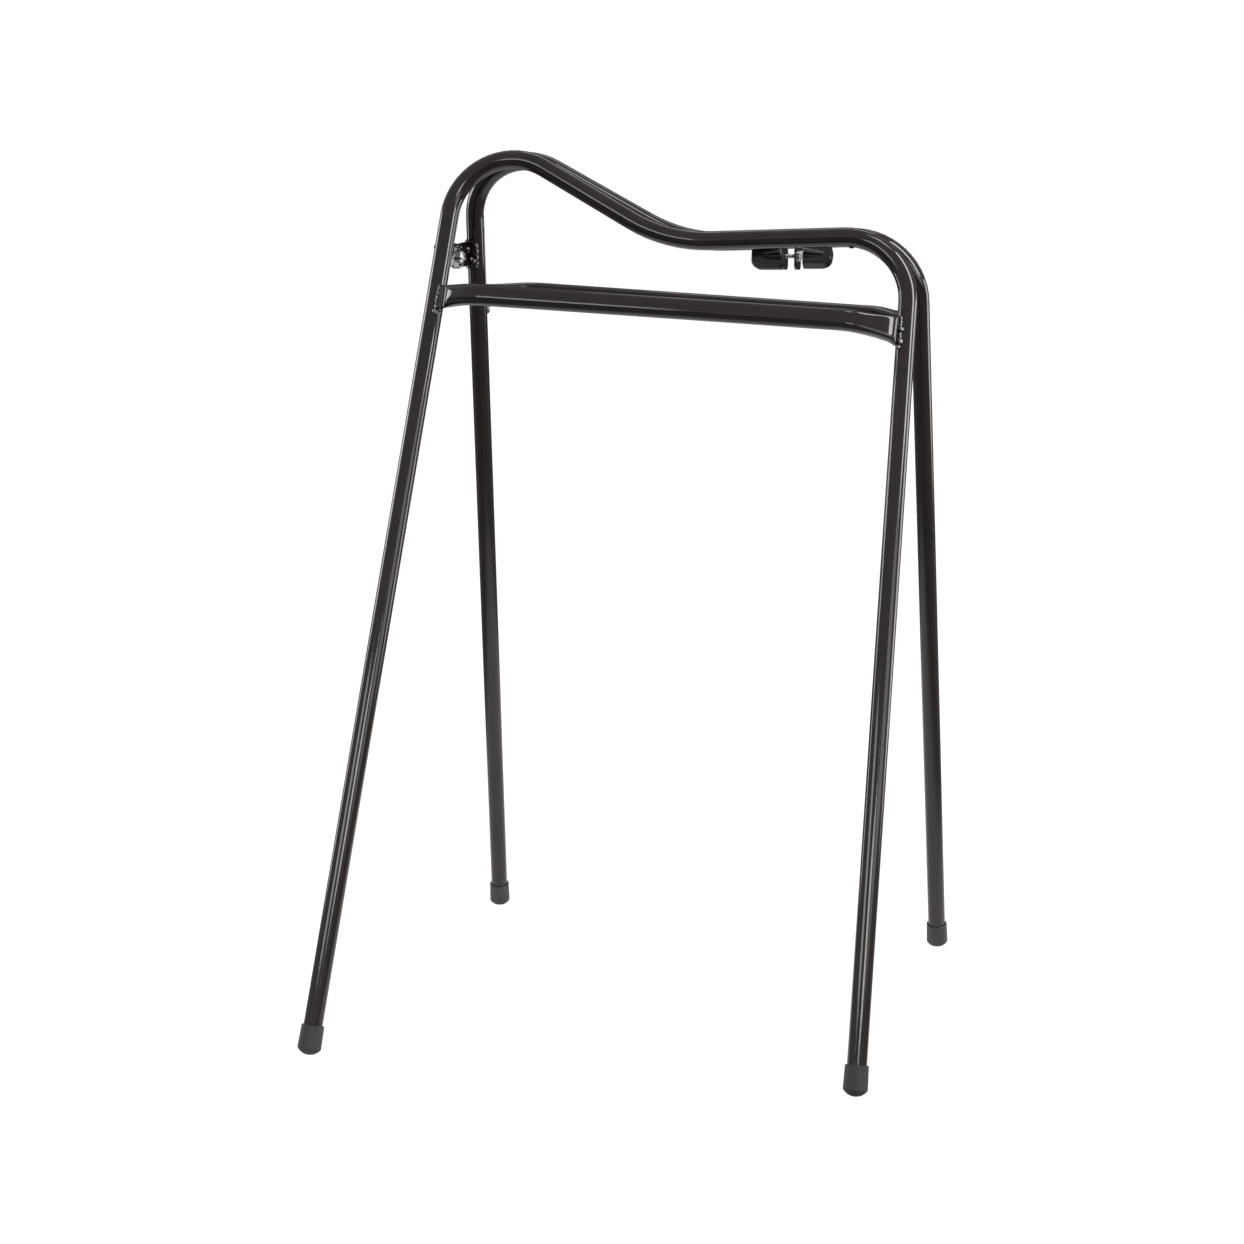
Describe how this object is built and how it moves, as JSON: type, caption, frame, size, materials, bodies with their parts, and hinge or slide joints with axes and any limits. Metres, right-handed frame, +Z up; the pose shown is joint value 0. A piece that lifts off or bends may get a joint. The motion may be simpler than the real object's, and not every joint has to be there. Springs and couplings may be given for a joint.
{
  "type": "folding saddle rack",
  "caption": "Folding saddle rack: bent-tube frames with a raised crown lean together, hinged by a pivot bolt at the crown end and a hand clamp under the low rail.",
  "frame": {"origin": "middle of the overall box, on the floor", "axes": "+X along the hinge from the crown end to the low end, +Y from the front frame to the rear frame, +Z up"},
  "size_m": [0.5603, 0.5992, 0.8817],
  "materials": {
    "black_enamel": "gloss",
    "zinc_steel": "satin",
    "black_plastic": "gloss",
    "black_rubber": "matte"
  },
  "bodies": {
    "front_frame": {"front_frame_tube": "black_enamel", "front_crossbar": "black_enamel", "foot_cap_front_left": "black_rubber", "foot_cap_front_right": "black_rubber", "pommel_front_ear": "black_enamel", "pommel_pivot_bolt": "zinc_steel", "pommel_pivot_nut": "zinc_steel", "pommel_pivot_washers": "zinc_steel", "clamp_front_ear": "black_enamel", "clamp_front_washer": "zinc_steel"},
    "rear_frame": {"rear_frame_tube": "black_enamel", "rear_crossbar": "black_enamel", "foot_cap_rear_left": "black_rubber", "foot_cap_rear_right": "black_rubber", "pommel_rear_ear": "black_enamel", "clamp_rear_ear": "black_enamel", "clamp_rear_washer": "zinc_steel"},
    "clamp_screw": {"clamp_bolt": "zinc_steel", "clamp_screw_grip": "black_plastic"},
    "clamp_nut": {"clamp_nut_insert": "zinc_steel", "clamp_nut_grip": "black_plastic"}
  },
  "joints": [
    {"name": "fold", "type": "hinge", "parent": "front_frame", "child": "rear_frame", "pos_m": [0, 0, 0.7745], "axis": [1, 0, 0], "range_deg": [-35, 9]},
    {"name": "clamp_screw_turn", "type": "hinge", "parent": "front_frame", "child": "clamp_screw", "pos_m": [0.12, 0, 0.7745], "axis": [1, 0, 0], "continuous": true},
    {"name": "clamp_nut_turn", "type": "hinge", "parent": "rear_frame", "child": "clamp_nut", "pos_m": [0.17, 0, 0.7745], "axis": [1, 0, 0], "continuous": true}
  ]
}
